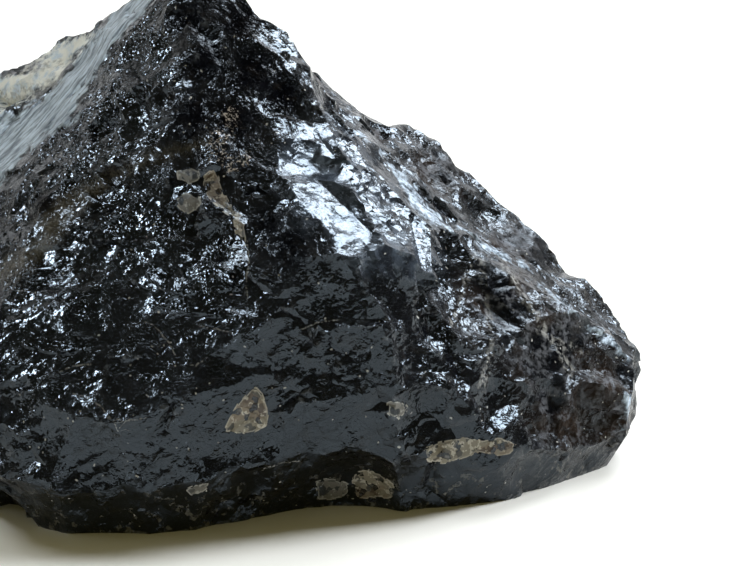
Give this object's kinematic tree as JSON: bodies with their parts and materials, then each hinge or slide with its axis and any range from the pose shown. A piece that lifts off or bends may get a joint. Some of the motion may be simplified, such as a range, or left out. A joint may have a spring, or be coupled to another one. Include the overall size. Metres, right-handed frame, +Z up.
{
  "type": "raw morion quartz",
  "caption": "Rough lump of black quartz with a blunt peak, a long sloping ridge, shell-shaped fracture scars, chipped ledges and a flat underside that it rests on.",
  "frame": {"origin": "middle of the lump's bounding box, at the level of the flat underside", "axes": "+X along the longest extent, from the high end to the low tapered end, +Y away from the broad front face, +Z up"},
  "size_m": [0.1628, 0.109, 0.0983],
  "materials": {
    "morion": "glassy fractured black quartz, with tan and whitish bruised veins"
  },
  "bodies": {
    "root": {"morion_stone": "morion"}
  },
  "joints": []
}
